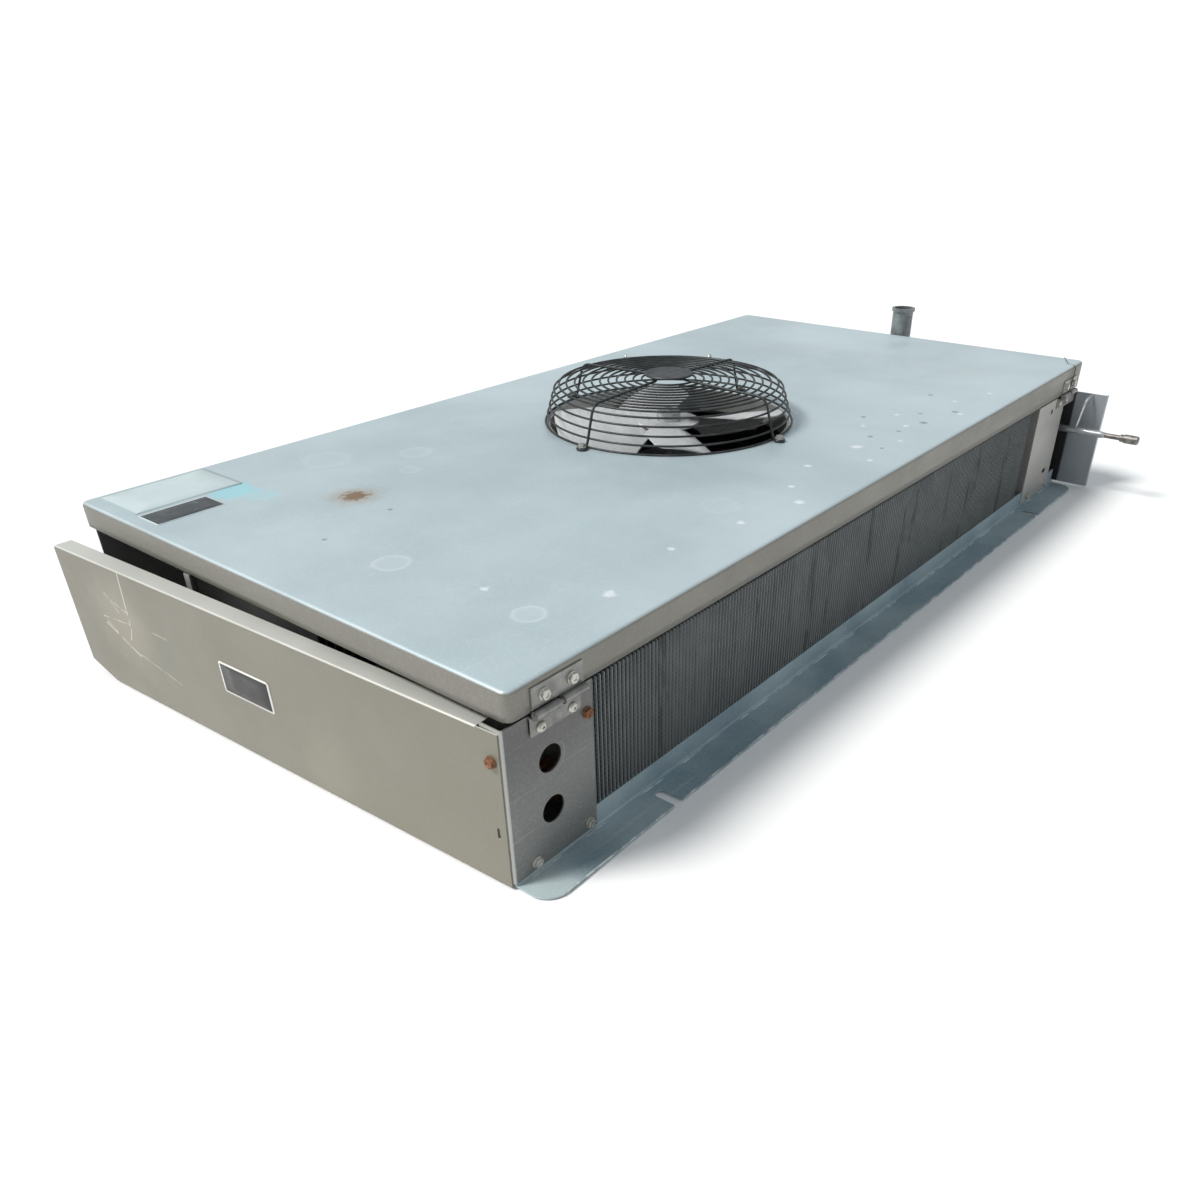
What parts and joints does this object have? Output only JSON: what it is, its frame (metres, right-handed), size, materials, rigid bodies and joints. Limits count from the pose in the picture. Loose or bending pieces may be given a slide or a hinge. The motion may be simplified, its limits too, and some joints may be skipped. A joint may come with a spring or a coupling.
{
  "type": "walk-in unit cooler",
  "caption": "Low unit cooler on its ceiling side: finned coil at the front, hinged drain pan with a guarded fan, end covers, ceiling rails and capped liquid line.",
  "frame": {"origin": "centre of the ceiling mounting face, between the two rails; the unit lies upside down, as stored", "axes": "+X along the length from the wiring end to the pipe end, -Y out of the coil face, +Z from the ceiling face to the drain pan"},
  "size_m": [1.1407, 0.6578, 0.2085],
  "materials": {
    "galvanised_pan": "satin",
    "galvanised_cabinet": "satin",
    "galvanised_rail": "satin",
    "fin_aluminium": "matte",
    "copper_tube": "satin",
    "brass": "satin",
    "black_wire": "satin",
    "blade_aluminium": "brushed",
    "motor_black": "satin",
    "zinc_screw": "satin",
    "rusty_steel": "rough",
    "hinge_steel": "satin",
    "steel_tube": "satin",
    "terminal_plastic": "matte"
  },
  "bodies": {
    "cabinet": {"ceiling_panel": "galvanised_cabinet", "front_rail": "galvanised_rail", "back_rail": "galvanised_rail", "near_end_plate": "galvanised_cabinet", "far_end_plate": "galvanised_cabinet", "near_tube_sheet": "galvanised_cabinet", "far_tube_sheet": "galvanised_cabinet", "back_panel": "galvanised_cabinet", "coil_fins": "fin_aluminium", "coil_tubes": "copper_tube", "near_return_bends": "copper_tube", "far_return_bends": "copper_tube", "suction_header": "copper_tube", "distributor": "brass", "feeder_tubes": "copper_tube", "liquid_line": "copper_tube", "liquid_cap": "brass", "pressure_tube": "steel_tube", "pipe_clip": "galvanised_cabinet", "terminal_block": "terminal_plastic", "near_cover": "galvanised_cabinet", "far_cover": "galvanised_cabinet", "cover_strut": "galvanised_cabinet", "plate_screws": "zinc_screw", "rusted_screws": "rusty_steel", "near_lower_leaf": "hinge_steel", "far_lower_leaf": "hinge_steel", "hinge_pins": "hinge_steel"},
    "pan": {"drain_pan": "galvanised_pan", "near_upper_leaf": "hinge_steel", "far_upper_leaf": "hinge_steel", "hinge_rivets": "zinc_screw", "drain_fitting": "steel_tube", "fan_venturi": "galvanised_pan", "guard_rings": "black_wire", "guard_ribs": "black_wire", "guard_badge": "black_wire", "guard_screws": "zinc_screw", "motor_mount": "black_wire", "fan_motor": "motor_black"},
    "fan": {"fan_hub": "steel_tube", "fan_blades": "blade_aluminium"}
  },
  "joints": [
    {"name": "pan_hinge", "type": "hinge", "parent": "cabinet", "child": "pan", "pos_m": [0, -0.2706, 0.13075], "axis": [1, 0, 0], "range_deg": [0, 95]},
    {"name": "fan_spin", "type": "hinge", "parent": "pan", "child": "fan", "pos_m": [-0.012, 0.009, 0.15989], "axis": [-0.0093, 0, 1], "continuous": true}
  ]
}
